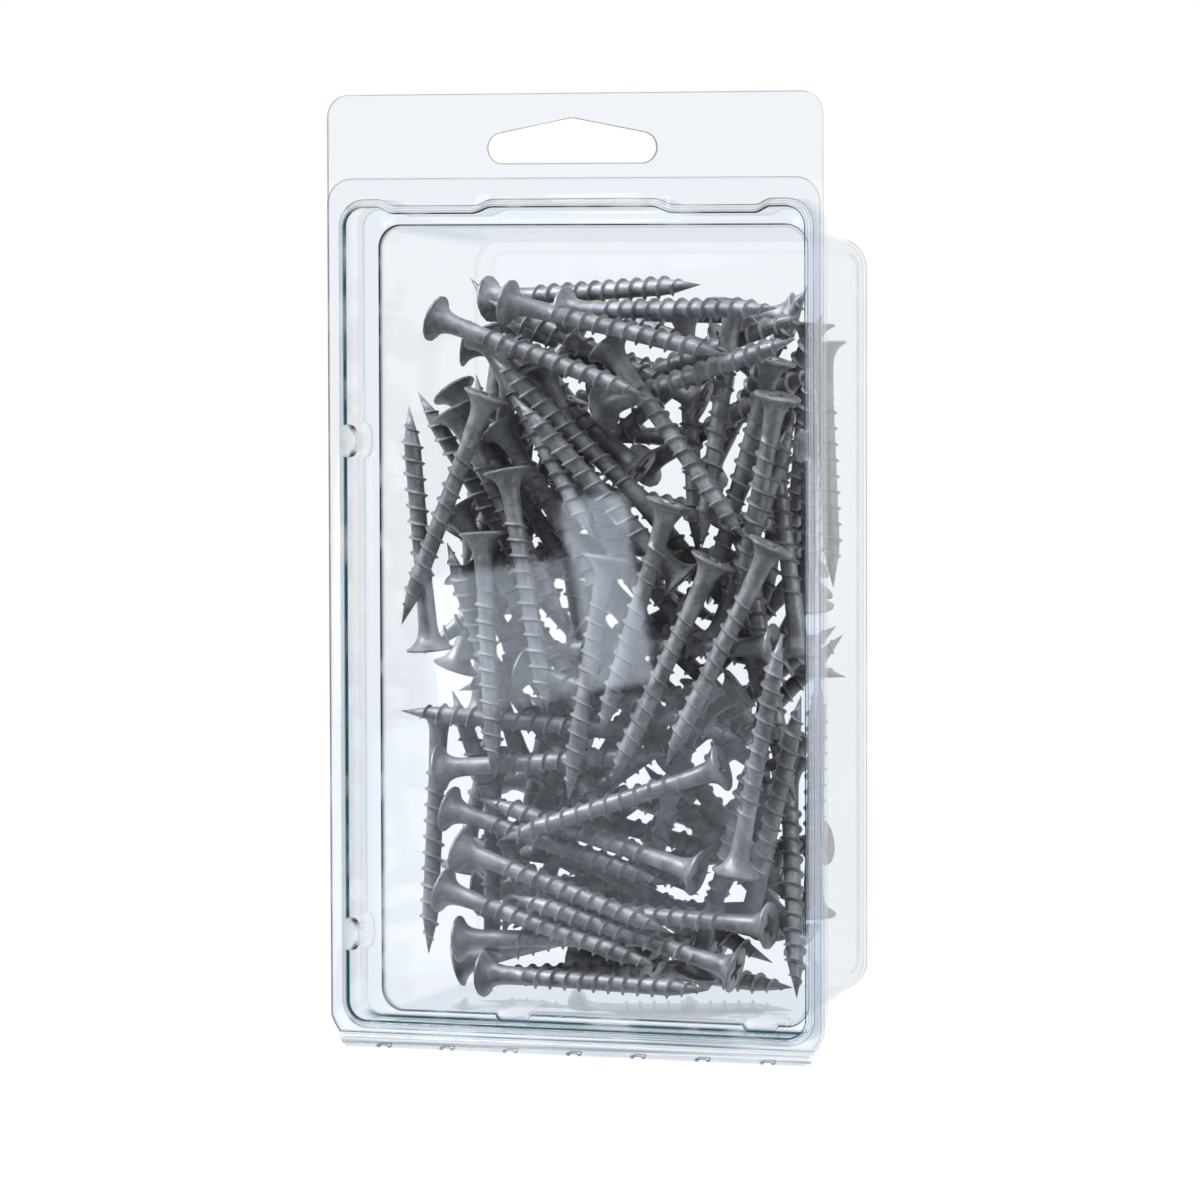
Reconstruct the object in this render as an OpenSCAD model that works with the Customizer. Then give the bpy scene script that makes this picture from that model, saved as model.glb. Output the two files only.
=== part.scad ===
// Clear plastic clamshell pack with a heap of deck screws inside.
// One sheet folded at the bottom makes a deep tub with a hang tab and a front lid.
// The lid is a shallow tray that plugs into the mouth of the tub.
// X runs across the pack, Y from the front to the back, Z up.
// Lengths are measured from the fold, and the finished part is moved so that
// its origin is the middle of the hang hole.

/* [Pack] */
// Width across the flanges
pack_w = 93.2; // [88:0.2:110]
// Height from the fold to the top of the hang tab
pack_h = 168.5; // [165:0.5:190]
// Thickness of the clear sheet
sheet = 0.5; // [0.3:0.05:0.6]
// Height of the top edge of the front lid
lid_h = 153.8; // [152:0.1:156]
// Slack between the two flanges when the pack is shut
flange_gap = 0.1; // [0.1:0.05:0.3]

/* [Recess of the lid] */
// Half the width of the recess
recess_half = 43.15; // [42:0.05:43.5]
// Lowest edge of the recess
recess_low = 4.8; // [4.5:0.1:6]
// Highest edge of the recess
recess_high = 148.6; // [147:0.1:149]
// Depth of the recess
recess_depth = 8.1; // [6:0.1:10]
// Corner radius of the recess
recess_corner = 3.4; // [2:0.1:6]
// How far the two flat steps of the top wall are set in
step_in = 1.1; // [0:0.1:2]
// Slack between the plug of the lid and the mouth of the tub
plug_slack = 0.4; // [0.3:0.05:0.6]

/* [Snap buttons] */
// Heights of the two rows of buttons
button_rows = [20, 107.5];
// Half the height of a button
button_half = 3.0; // [2.6:0.1:4]
// How far a button stands into the recess
button_rise = 1.8; // [1.5:0.1:2]

/* [Tub] */
// Half the width of the cavity at its mouth
cavity_half = 40; // [38:0.1:41]
// Lowest edge of the cavity at its mouth
cavity_low = 6.3; // [6:0.1:8]
// Highest edge of the cavity at its mouth
cavity_high = 145; // [140:0.1:146]
// Depth of the whole pack behind the flange
tub_depth = 48.5; // [40:0.5:60]
// How far each wall draws in towards the back
draft_in = 2.6; // [1.5:0.1:4]
// Corner radius of the cavity at its mouth
cavity_corner = 3.6; // [3:0.1:5]
// Rounding between the walls and the back panel
back_round = 2.6; // [1.5:0.1:4]
// How far the stacking lugs stand out of the bottom wall
lug_out = 1.1; // [0.5:0.1:1.5]

/* [Hang hole] */
// Width of the hang hole
hole_w = 31.75; // [30:0.05:34]
// Height of the straight lower edge of the hole
hole_low = 156.3; // [155:0.1:158]
// Radius of the round ends
hole_end = 2.65; // [2:0.05:3]
// Height of the peak above the lower edge
hole_rise = 7.8; // [6.5:0.1:8.5]

/* [Fold] */
// Outer radius of the rolled bead along the fold
bead_r = 1.4; // [1.2:0.1:1.8]
// Half the length of the bead at its bottom
bead_half = 43.6; // [40:0.2:44]
// Width cut off each low corner of the flanges
corner_cut = 1.6; // [1:0.1:3]
// Radius of the bent edge that joins both halves
crease_r = 0.3; // [0.25:0.05:0.35]
// Spacing of the small cuts that let the fold bend
cut_pitch = 12.1; // [8:0.1:16]
// Number of cuts to each side of the middle one
cut_side = 3; // [1:1:3]

/* [Screws] */
// Length of a screw
screw_len = 44; // [38:0.5:46]
// Diameter of the shank at half the height of its thread
shank_d = 3.3; // [2.8:0.1:3.8]
// Diameter of the head
head_d = 8.4; // [8:0.1:9]
// Highest level of the heap
heap_top = 137; // [90:1:137]
// Number of screws that are tried
heap_tries = 156; // [20:10:170]
// Number of places looked at for each screw
choices = 40; // [5:1:60]
// Number of shakes that let a screw sink
shakes = 45; // [0:1:60]
// Seed of the heap
heap_seed = 3; // [1:1:99]

/* [Hidden] */

hang_z = hole_low + hole_rise / 2;
bend = 0.55;
arc_steps = 6;
button_steps = 8;
front_y = -flange_gap / 2 - sheet;
back_y = flange_gap / 2;
mouth_half = recess_half + sheet + plug_slack;
mouth_low = recess_low - sheet - plug_slack;
mouth_high = recess_high + sheet + plug_slack;
panel_y = front_y + recess_depth;
ledge_y = panel_y + sheet + 0.2;
back_in = tub_depth - sheet;
flange_low = 2 * bead_r - 0.2;
cut_slope = 1.8;
clear = [0.80, 0.88, 0.92, 0.35];
steel = [0.46, 0.47, 0.49];

// Outlines. Each returns the points of one loop in the same order, so that
// any two loops can be joined by a band of faces.

// A corner arc about its square corner, flattened towards its chord by flat
function corner(x, z, rx, rz, start, flat = 0) =
    let (from = [x + rx * cos(start), z + rz * sin(start)],
         to = [x + rx * cos(start + 90), z + rz * sin(start + 90)])
    [for (i = [0:arc_steps])
        let (a = start + 90 * i / arc_steps,
             round_point = [x + rx * cos(a), z + rz * sin(a)],
             chord_point = from + (to - from) * i / arc_steps)
        round_point * (1 - flat) + chord_point * flat];

// The set-in steps of the top wall, from the right to the left, kept within
// the straight part of the wall that reaches out to end
function top_steps(z, depth, end) =
    let (k = min(1, (end - 0.4) / 36.8), edges = k * [36.8, 34.3, 18.8, 15.2], ins = [0, depth, depth, 0])
    concat([for (i = [0:3]) [edges[i], z - ins[i]]],
           [for (i = [3:-1:0]) [-edges[i], z - ins[i]]]);

// Snap buttons of one side wall, from the bottom up on the right side
function side_buttons(x, half, rise) =
    [for (row = button_rows, i = [0:button_steps])
        let (a = 180 * i / button_steps)
        [x - rise * sin(a), row - half * cos(a)]];

// Lugs that keep stacked tubs apart, from the left to the right
function low_lugs(z, out, end) =
    let (k = min(1, (end - 0.4) / 34.3))
    [for (at = [-15.4, 31.5], j = [0:3])
        [k * (at + [-2.75, -2.45, 2.45, 2.75][j]), z - (j == 0 || j == 3 ? 0 : out)]];

// A loop of the lid: half width, low and high edge, corner radius, depth of the
// top steps, rise of the buttons, and the width cut off both low corners
function lid_loop(half, low, high, r, step, half_button, rise, cut = 0) =
    let (rx = cut > 0 ? cut : r, rz = cut > 0 ? cut_slope * cut : r, flat = cut > 0 ? 0.8 : 0,
         side = side_buttons(half, half_button, rise))
    concat(corner(half - rx, low + rz, rx, rz, 270, flat),
           side,
           corner(half - r, high - r, r, r, 0),
           top_steps(high, step, half - r),
           corner(-half + r, high - r, r, r, 90),
           [for (i = [len(side) - 1:-1:0]) [-side[i].x, side[i].y]],
           corner(-half + rx, low + rz, rx, rz, 180, flat));

// A loop of the tub: half width, low and high edge, corner radius, depth of the
// top steps, reach of the lugs, and the width cut off both low corners
function tub_loop(half, low, high, r, step, lug, cut = 0) =
    let (rx = cut > 0 ? cut : r, rz = cut > 0 ? cut_slope * cut : r, flat = cut > 0 ? 0.8 : 0)
    concat(corner(half - r, high - r, r, r, 0),
           top_steps(high, step, half - r),
           corner(-half + r, high - r, r, r, 90),
           corner(-half + rx, low + rz, rx, rz, 180, flat),
           low_lugs(low, lug, half - rx),
           corner(half - rx, low + rz, rx, rz, 270, flat));

// Closed shell between the loops of its front face and those of its rear face.
// Every loop is [points, depth], and the last loop of each face is convex.
module shell(front, rear) {
    n = len(front[0][0]);
    loops = concat([for (i = [len(front) - 1:-1:0]) front[i]], rear);
    count = len(loops);
    points = [for (l = loops, p = l[0]) [p.x, l[1], p.y]];
    faces = concat(
        [[for (i = [n - 1:-1:0]) i]],
        [for (k = [0:count - 2], i = [0:n - 1], half = [0, 1])
            let (a = k * n + i, b = k * n + (i + 1) % n, c = b + n, d = a + n)
            half == 0 ? [a, b, c] : [a, c, d]],
        [[for (i = [0:n - 1]) (count - 1) * n + i]]);
    polyhedron(points = points, faces = faces, convexity = 8);
}

// Half a round bead rolled along the fold, on the side that dir points to.
// Its ends carry on the slanting cut of the low corners of the flange.
module bead(dir, half) {
    up = bead_r + 1;
    out = up / cut_slope;
    mid = half + bead_r / cut_slope;
    translate([0, 0, bead_r])
        intersection() {
            rotate([0, 90, 0])
                difference() {
                    cylinder(r = bead_r, h = 2 * mid + 6, center = true, $fn = 48);
                    cylinder(r = bead_r - sheet, h = 2 * mid + 7, center = true, $fn = 48);
                }
            translate([0, dir * (back_y + bead_r), 0])
                rotate([90, 0, 0])
                    linear_extrude(2 * bead_r, center = true)
                        polygon([[-mid + out, -up], [mid - out, -up], [mid + out, up], [-mid - out, up]]);
        }
}

// The bent edge at the bottom of the bead, about which the lid turns
module crease(r) {
    rotate([0, 90, 0])
        cylinder(r = r, h = 2 * bead_half - 0.4, center = true, $fn = 24);
}

// Room for that edge in the bead of the lid
module crease_room() {
    rotate([0, 90, 0])
        cylinder(r = crease_r + 0.12, h = pack_w, center = true, $fn = 24);
}

// Small cuts across the fold
module fold_cuts() {
    for (i = [-cut_side:cut_side])
        translate([i * cut_pitch, 0, 0.2])
            cube([1.9, 5, 1.6], center = true);
}

// Points on an arc about c
function arc(c, r, from, to, steps = 12) =
    [for (i = [0:steps]) let (a = from + (to - from) * i / steps) c + r * [cos(a), sin(a)]];

// Hang hole: straight below, round at the ends and sloping up to a blunt peak.
// The slope is the line that touches the round end and the peak.
module hang_hole() {
    peak_r = 4;
    end = [hole_w / 2 - hole_end, hole_end];
    peak = [0, hole_rise - peak_r];
    slope = acos((hole_end - peak_r) / norm(peak - end)) - atan2(end.x, peak.y - end.y);
    translate([0, 5, hole_low])
        rotate([90, 0, 0])
            linear_extrude(10)
                polygon(concat(
                    arc(end, hole_end, -90, 90 - slope),
                    arc(peak, peak_r, 90 - slope, 90 + slope, 4),
                    arc([-end.x, end.y], hole_end, 90 + slope, 270)));
}

// Small pips on the mouth walls that the buttons of the lid click over
pip_y = 5.2;
module pips(base_r, tip_r, from, to) {
    for (side = [-1, 1], row = button_rows)
        translate([side * from, pip_y, row])
            rotate([0, -90 * side, 0])
                cylinder(r1 = base_r, r2 = tip_r, h = from - to, $fn = 32);
}

// A loop of the mouth wall, out by a distance and at a depth
function mouth(out, extra_r, y) =
    [tub_loop(mouth_half + out, mouth_low - out, mouth_high + out,
              recess_corner + 0.9 + extra_r, step_in, 0), y];

// A loop of the bend where the ledge turns into the cavity
function ledge(out, y) =
    [tub_loop(cavity_half + out, cavity_low - out, cavity_high + out,
              cavity_corner + out, 0, lug_out), y];

// A loop of the cavity wall at depth y, drawn in by the draft and by extra
function cavity_at(y, lug, extra = 0) =
    let (part_way = (y - ledge_y - bend) / (back_in - ledge_y - bend),
         by = draft_in * part_way + extra,
         r = cavity_corner + 1.4 * part_way - extra * 0.4)
    tub_loop(cavity_half - by, cavity_low + by, cavity_high - by, r, 0, lug);

module back_shell() {
    edge = tub_loop(pack_w / 2, flange_low, pack_h, 4, 0, 0, corner_cut);
    round_from = back_in - back_round;
    front = [
        [edge, back_y],
        mouth(bend, bend, back_y),
        mouth(0, 0, back_y + bend),
        mouth(0, 0, ledge_y),
        ledge(bend, ledge_y),
        ledge(0, ledge_y + bend),
        [cavity_at(ledge_y + 6, lug_out - 0.1), ledge_y + 6],
        [cavity_at(ledge_y + 7.5, 0), ledge_y + 7.5],
        [cavity_at(round_from, 0), round_from],
        [cavity_at(round_from, 0, back_round * 0.3), back_in - back_round * 0.3],
        [cavity_at(round_from, 0, back_round), back_in]];
    t = sheet;
    outer_bend = t + bend * 0.6;
    rear = [
        [edge, back_y + t],
        mouth(outer_bend, outer_bend, back_y + t),
        mouth(t, t, back_y + outer_bend),
        mouth(t, t, ledge_y + t - 0.3),
        mouth(t - 0.3, t - 0.3, ledge_y + t),
        ledge(outer_bend, ledge_y + t),
        ledge(t, ledge_y + outer_bend),
        [cavity_at(ledge_y + 6.2, lug_out - 0.1, -t), ledge_y + 6.2],
        [cavity_at(ledge_y + 7.7, 0, -t), ledge_y + 7.7],
        [cavity_at(round_from, 0, -t), round_from],
        [cavity_at(round_from, 0, back_round * 0.3 - t * 0.7), back_in - back_round * 0.3 + t * 0.7],
        [cavity_at(round_from, 0, back_round), tub_depth]];
    color(clear)
        place()
            difference() {
                union() {
                    shell(front, rear);
                    bead(1, bead_half);
                    crease(crease_r);
                    pips(1.6, 0.9, mouth_half + 0.3, mouth_half - 1);
                }
                pips(1.2, 0.5, mouth_half + sheet + 0.1, mouth_half - 0.5);
                hang_hole();
                fold_cuts();
            }
}

// A loop of the recess, out by a distance and at a depth
function recess(out, rise, y, half_button = button_half - 0.4) =
    [lid_loop(recess_half + out, recess_low - out, recess_high + out,
              recess_corner + out, step_in, half_button, rise), y];

// The loop where the rounded edge of the recess meets its flat panel
function panel_edge(y) =
    [lid_loop(recess_half - 2.6, recess_low + 2.6, recess_high - 2.6,
              recess_corner - 1.2, 0, button_half, 0), y];

module front_shell() {
    edge = lid_loop(pack_w / 2 - 0.3, flange_low, lid_h, 4.6, 0, button_half, 0, corner_cut);
    front = [
        [edge, front_y],
        recess(bend, button_rise / 2, front_y, button_half),
        recess(0, button_rise, front_y + bend, button_half),
        recess(0, button_rise, panel_y - 0.3, button_half),
        recess(-0.3, button_rise, panel_y, button_half),
        panel_edge(panel_y)];
    t = sheet;
    outer_bend = t + bend * 0.6;
    rear = [
        [edge, front_y + t],
        recess(outer_bend, button_rise / 2, front_y + t),
        recess(t, button_rise, front_y + outer_bend),
        recess(t, button_rise, panel_y + t - 0.5),
        recess(t - 0.5, button_rise, panel_y + t),
        panel_edge(panel_y + t)];
    color(clear)
        place()
            difference() {
                union() {
                    shell(front, rear);
                    bead(-1, bead_half - 0.3);
                }
                crease_room();
                fold_cuts();
            }
}

// Screws. A heap is grown by letting each screw fall towards the front panel
// until it meets the panel or a screw that lies there. For the fall a screw is
// a round rod with a ball at its head, and a small gap is kept between them.
gap = 0.1;
rod_r = shank_d / 2;
rod_from = 3.2;
rod_len = screw_len - rod_from - 1.5;
ball_from = 1.5;
ball_r = head_d / 2 - 0.4;
reach = 2 * ball_r + gap;
far = -1000;

// Depth at which a ball that falls along Y comes to rest on another ball
function on_ball(p, c, d) =
    let (w = p - c, h = d * d - w.x * w.x - w.z * w.z)
    h <= 0 ? far : sqrt(h) - w.y;

// The same for a ball that falls on a rod from a along v
function on_rod(p, a, v, d) =
    let (w = p - a,
         k = 1 - v.y * v.y,
         wv = w * v,
         b = w.y - v.y * wv,
         q = b * b - k * (w * w - wv * wv - d * d))
    q < 0 ? max(on_ball(p, a, d), on_ball(p, a + v * rod_len, d)) :
    let (y = (sqrt(q) - b) / k, s = wv + y * v.y)
    s >= 0 && s <= rod_len ? y : max(on_ball(p, a, d), on_ball(p, a + v * rod_len, d));

// The same for a rod that falls across a rod
function across(p, u, a, v, d) =
    let (n = cross(u, v), m = norm(n))
    abs(n.y) < 0.02 ? far :
    let (e = n * (sign(n.y) / m),
         y = (d - (p - a) * e) / e.y,
         w = a - p - [0, y, 0],
         t = cross(w, v) * n / (m * m),
         s = cross(w, u) * n / (m * m))
    t >= 0 && t <= rod_len && s >= 0 && s <= rod_len ? y : far;

function flip(p) = [p.x, -p.y, p.z];

// Whether two screws seen from the front pass clear of each other
function apart(p, u, a, v) =
    let (w = a - p,
         c = screw_len * (u.x * v.z - u.z * v.x),
         new_side = u.x * w.z - u.z * w.x,
         old_side = v.z * w.x - v.x * w.z)
    new_side * (new_side + c) > 0 && min(abs(new_side), abs(new_side + c)) > reach
        || old_side * (old_side - c) > 0 && min(abs(old_side), abs(old_side - c)) > reach;

// How far along Y a falling screw stops above a screw at rest
function stop_above(head, u, old) =
    apart(head, u, old[0], old[1]) ? far :
    let (v = old[1],
         p = head + u * rod_from,
         a = old[0] + v * rod_from,
         ball = head + u * ball_from,
         other = flip(old[0] + v * ball_from),
         fp = flip(p),
         fu = flip(u),
         rods = 2 * rod_r + gap,
         mixed = rod_r + ball_r + gap)
    max(across(p, u, a, v, rods),
        on_rod(p, a, v, rods),
        on_rod(p + u * rod_len, a, v, rods),
        on_rod(flip(a), fp, fu, rods),
        on_rod(flip(a + v * rod_len), fp, fu, rods),
        on_rod(ball, a, v, mixed),
        on_rod(other, fp, fu, mixed),
        on_ball(ball, flip(other), reach));

// Room left between a point with radius r and the walls of the cavity
function room(p, r) =
    let (part_way = (p.y + r - ledge_y) / (back_in - ledge_y),
         by = draft_in * part_way + max(0, p.y + r - back_in + back_round),
         side = cavity_half - by - abs(p.x),
         low = p.z - cavity_low - by,
         c = cavity_corner + 1.4)
    side < c && low < c ? c - norm([c - side, c - low]) - r : min(side, low, heap_top - p.z) - r;

function fits(head, u) =
    let (tip = head + u * (rod_from + rod_len))
    min(room(head, head_d / 2), room(tip, rod_r)) > 0.3
        && max(head.y + head_d / 2 * norm([u.x, u.z]), tip.y + rod_r) < back_in - 0.25;

// A resting screw from the place of its middle, its turn and its lean: its
// head, its direction, the height of its middle and the numbers it came from
function rest(at, heap) =
    let (u = [cos(at[3]) * cos(at[2]), sin(at[3]), cos(at[3]) * sin(at[2])],
         head = [at[0], 0, at[1]] - u * screw_len / 2)
    abs(at[3]) > 30 || !fits(head + [0, 25, 0], u) ? undef :
    let (low = panel_y + sheet + 0.3,
         rim = low + head_d / 2 * norm([u.x, u.z]) - head.y,
         tip = low + rod_r - head.y - u.y * (rod_from + rod_len),
         y = max([rim, tip, for (old = heap) stop_above(head, u, old)]),
         down = head + [0, y, 0])
    fits(down, u) ? [down, u, y, at] : undef;

// A first try: at random, or beside a screw that lies there already
function first_try(heap, d) =
    len(heap) == 0 || d[0] > 0.4 ?
        let (turn = 360 * d[1],
             wide = cavity_half - 4 - abs(cos(turn)) * screw_len / 2,
             low = cavity_low + 4 + abs(sin(turn)) * screw_len / 2,
             high = heap_top - 4 - abs(sin(turn)) * screw_len / 2)
        [(2 * d[2] - 1) * wide, low + (high - low) * d[3], turn, 13 * d[4] - 10] :
        let (old = heap[floor(d[1] * len(heap))][3],
             along = 40 * d[2] - 20,
             off = (d[3] > 0.5 ? 1 : -1) * (3.6 + 10 * abs(d[3] - 0.5)),
             back = d[5] > 0.5)
        [old[0] + along * cos(old[2]) - off * sin(old[2]),
         old[1] + along * sin(old[2]) + off * cos(old[2]),
         old[2] + 50 * d[4] - 25 + (back ? 180 : 0),
         (back ? -1 : 1) * old[3]];

function lower(a, b) = b == undef || (a != undef && a[2] <= b[2]) ? a : b;

// Whether the rim of one head touches another screw
envelope = [[0.5, head_d / 2], [1.5, 2.9], [2.9, 2.1], [4.6, rod_r],
            [screw_len - 6, rod_r], [screw_len, 0.1]];
function rim_hits(head, u, a, v) =
    let (w = head - a, s = min(max(w * v, 0), screw_len))
    norm(w - s * v) > head_d + 0.3 ? false :
    let (e = cross(u, [0.3, 0.9, 0.2]) / norm(cross(u, [0.3, 0.9, 0.2])), f = cross(u, e))
    max([for (t = [0:15:345])
        let (q = w + head_d / 2 * (cos(t) * e + sin(t) * f) + 0.22 * u, s = q * v)
        s > -0.35 && s < screw_len + 0.2 && norm(q - s * v) < lookup(s, envelope) + 0.32 ? 1 : 0]) > 0;

// Lifts a screw until its head and the heads below it are clear
function lifted(s, heap, n = 0) =
    n < 12 && max([0, for (old = heap)
        rim_hits(s[0], s[1], old[0], old[1]) || rim_hits(old[0], old[1], s[0], s[1]) ? 1 : 0]) > 0 ?
        lifted([s[0] + [0, 0.15, 0], s[1], s[2] + 0.15, s[3]], heap, n + 1) :
    n < 12 && fits(s[0], s[1]) ? s : undef;

// Shakes a screw and keeps each move that lets it sink
function settle(best, heap, d, k, j) =
    j >= shakes ? best :
    let (amount = 5 * pow(0.95, j),
         m = k + 4 * j,
         move = [2 * d[m] - 1, 2 * d[m + 1] - 1, 2.5 * (2 * d[m + 2] - 1), 1.5 * (2 * d[m + 3] - 1)])
    settle(lower(best, rest(best[3] + amount * move, heap)), heap, d, k, j + 1);

function lowest(found, i = 0, best = undef) =
    i >= len(found) ? best : lowest(found, i + 1, lower(best, found[i]));

function grow(heap, i, d) =
    i >= heap_tries ? heap :
    let (k = i * (6 * choices + 4 * shakes),
         found = [for (j = [0:choices - 1])
             rest(first_try(heap, [for (m = [0:5]) d[k + 6 * j + m]]), heap)],
         start = lowest(found),
         sunk = start == undef ? undef : settle(start, heap, d, k + 6 * choices, 0),
         best = sunk == undef ? undef : lifted(sunk, heap))
    grow(best == undef ? heap : concat(heap, [best]), i + 1, d);

// One screw with its head at the origin and its tip down
module screw() {
    rotate_extrude($fn = 24)
        polygon([
            [0, 0], [head_d / 2, 0], [head_d / 2, -0.45], [head_d * 0.27, -2.0],
            [rod_r, -4.6], [rod_r, -screw_len + 6.5], [0, -screw_len]]);
}

// The heap in three layers, so that each layer can be built by itself
module screws(layer) {
    dice = rands(0, 1, heap_tries * (6 * choices + 4 * shakes), heap_seed);
    heap = grow([], 0, dice);
    count = len(heap);
    color(steel)
        place()
            for (i = [round(count * layer / 3):round(count * (layer + 1) / 3) - 1]) {
                u = -heap[i][1];
                e = cross(u, [0.3, 0.9, 0.2]) / norm(cross(u, [0.3, 0.9, 0.2]));
                f = cross(u, e);
                multmatrix([
                    [e.x, f.x, u.x, heap[i][0].x],
                    [e.y, f.y, u.y, heap[i][0].y],
                    [e.z, f.z, u.z, heap[i][0].z]])
                    screw();
            }
}

module screws_front() {
    screws(0);
}

module screws_middle() {
    screws(1);
}

module screws_back() {
    screws(2);
}

// Moves the finished part so that the hang hole is at the origin
module place() {
    translate([0, 0, -hang_z])
        children();
}

back_shell();
front_shell();
screws_front();
screws_middle();
screws_back();
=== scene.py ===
import math

import bmesh
import bpy
import numpy as np
from mathutils import Matrix, Vector


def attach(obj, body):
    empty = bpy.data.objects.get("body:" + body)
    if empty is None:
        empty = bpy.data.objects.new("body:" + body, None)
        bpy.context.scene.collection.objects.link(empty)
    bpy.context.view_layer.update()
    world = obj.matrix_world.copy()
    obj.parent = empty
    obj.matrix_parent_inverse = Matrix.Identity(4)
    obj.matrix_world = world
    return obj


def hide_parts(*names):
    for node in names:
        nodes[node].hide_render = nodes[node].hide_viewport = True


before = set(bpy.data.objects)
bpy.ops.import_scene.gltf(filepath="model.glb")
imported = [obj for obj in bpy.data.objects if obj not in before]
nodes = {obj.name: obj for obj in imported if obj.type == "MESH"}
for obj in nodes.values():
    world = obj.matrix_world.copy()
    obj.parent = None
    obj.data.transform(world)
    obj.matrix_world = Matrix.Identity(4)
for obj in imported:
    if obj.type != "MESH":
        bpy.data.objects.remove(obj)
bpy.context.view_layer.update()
mm = 0.001
foldZ = -160.2      # the fold's height, in mm, with the hang hole at 0
print("stage: frame loaded")


def setInput(tree, socket, value):
    source = value.socket if isinstance(value, Val) else value
    if isinstance(source, bpy.types.NodeSocket):
        tree.links.new(source, socket)
    else:
        socket.default_value = source


def addNode(tree, kind, settings=None, inputs=None):
    # settings go first, because some of them change a node's sockets
    node = tree.nodes.new(kind)
    for name, value in (settings or {}).items():
        setattr(node, name, value)
    for key, value in (inputs or {}).items():
        setInput(tree, node.inputs[key], value)
    return node


class Val:
    # a shader socket as a value in an expression
    def __init__(self, tree, socket):
        self.tree = tree
        self.socket = socket

    def math(self, operation, *others):
        values = dict(enumerate((self, *others)))
        node = addNode(self.tree, "ShaderNodeMath", {"operation": operation}, values)
        return Val(self.tree, node.outputs[0])

    def __add__(self, other):
        return self.math("ADD", other)

    def __radd__(self, other):
        return self.math("ADD", other)

    def __sub__(self, other):
        return self.math("SUBTRACT", other)

    def __rsub__(self, other):
        return self * -1.0 + other

    def __mul__(self, other):
        return self.math("MULTIPLY", other)

    def __rmul__(self, other):
        return self.math("MULTIPLY", other)

    def __truediv__(self, other):
        return self.math("DIVIDE", other)

    def __pow__(self, other):
        return self.math("POWER", other)

    def capped(self):
        return self.math("MINIMUM", 1.0)

    def between(self, low, high):
        # 0 at low, 1 at high, smooth between them; low may be the larger one
        node = addNode(self.tree, "ShaderNodeMapRange", {"interpolation_type": "SMOOTHSTEP"},
                       {0: self, 1: low, 2: high})
        return Val(self.tree, node.outputs[0])


class Shade:
    # the nodes of a material or of the world
    def __init__(self, tree):
        self.tree = tree
        tree.nodes.clear()

    def node(self, kind, settings=None, inputs=None, out=0):
        return Val(self.tree, addNode(self.tree, kind, settings, inputs).outputs[out])

    def mixColour(self, factor, first, second):
        return self.node("ShaderNodeMix", {"data_type": "RGBA"}, {0: factor, 6: first, 7: second}, 2)

    def mixShader(self, factor, first, second):
        return self.node("ShaderNodeMixShader", None, {0: factor, 1: first, 2: second})

    def noise(self, place, scale, detail, roughness=0.5):
        return self.node("ShaderNodeTexNoise", {"noise_dimensions": "3D"},
                         {"Vector": place, "Scale": scale, "Detail": detail, "Roughness": roughness})

    def split(self, vector):
        apart = addNode(self.tree, "ShaderNodeSeparateXYZ", None, {0: vector})
        return [Val(self.tree, socket) for socket in apart.outputs]

    def ray(self, kind):
        return self.node("ShaderNodeLightPath", out=kind)

    def seen(self):
        # 1 where the camera looks, also through a clear piece
        return (self.ray("Is Camera Ray") + self.ray("Is Transmission Ray")).capped()


def newMaterial(name, makeSurface):
    material = bpy.data.materials.new(name)
    material.use_nodes = True
    shade = Shade(material.node_tree)
    addNode(shade.tree, "ShaderNodeOutputMaterial", None, {0: makeSurface(shade)})
    return material


def newObject(name, verts, faces, material, sharpFrom):
    mesh = bpy.data.meshes.new(name)
    mesh.from_pydata([tuple(v) for v in verts], [], [tuple(f) for f in faces])
    mesh.validate()
    mesh.polygons.foreach_set("use_smooth", [True] * len(mesh.polygons))
    mesh.set_sharp_from_angle(angle=sharpFrom)
    mesh.materials.append(material)
    return addObject(name, mesh)


def addObject(name, data):
    obj = bpy.data.objects.new(name, data)
    bpy.context.scene.collection.objects.link(obj)
    return obj


def bake(obj):
    # the modifiers' result becomes a plain mesh
    bpy.context.view_layer.update()
    done = obj.evaluated_get(bpy.context.evaluated_depsgraph_get())
    mesh = bpy.data.meshes.new_from_object(done)
    mesh.name = obj.name
    obj.modifiers.clear()
    obj.data = mesh


# the screws' coating: mottled grey with a fine grain
coating = {
    "light": (0.27, 0.275, 0.285, 1),
    "dark": (0.15, 0.153, 0.162, 1),
    "metal": 0.40,
    "rough": 0.36,
    "grainRough": 0.16,         # what the grain adds to the roughness
    "cloudScale": 260.0,
    "grainScale": 900.0,
    "grainDepth": 0.06 * mm,
}


def screwSurface(shade):
    place = shade.node("ShaderNodeTexCoord", out="Object")
    cloud = shade.noise(place, coating["cloudScale"], 3.0, 0.6)
    grain = shade.noise(place, coating["grainScale"], 2.0)
    tone = (cloud * 0.7 + grain * 0.3).between(0.38, 0.62)
    bump = shade.node("ShaderNodeBump", None,
                      {"Strength": 0.35, "Distance": coating["grainDepth"], "Height": grain})
    return shade.node("ShaderNodeBsdfPrincipled", None, {
        "Base Color": shade.mixColour(tone, coating["dark"], coating["light"]),
        "Metallic": coating["metal"],
        "Roughness": grain * coating["grainRough"] + coating["rough"],
        "Normal": bump,
    })


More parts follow.
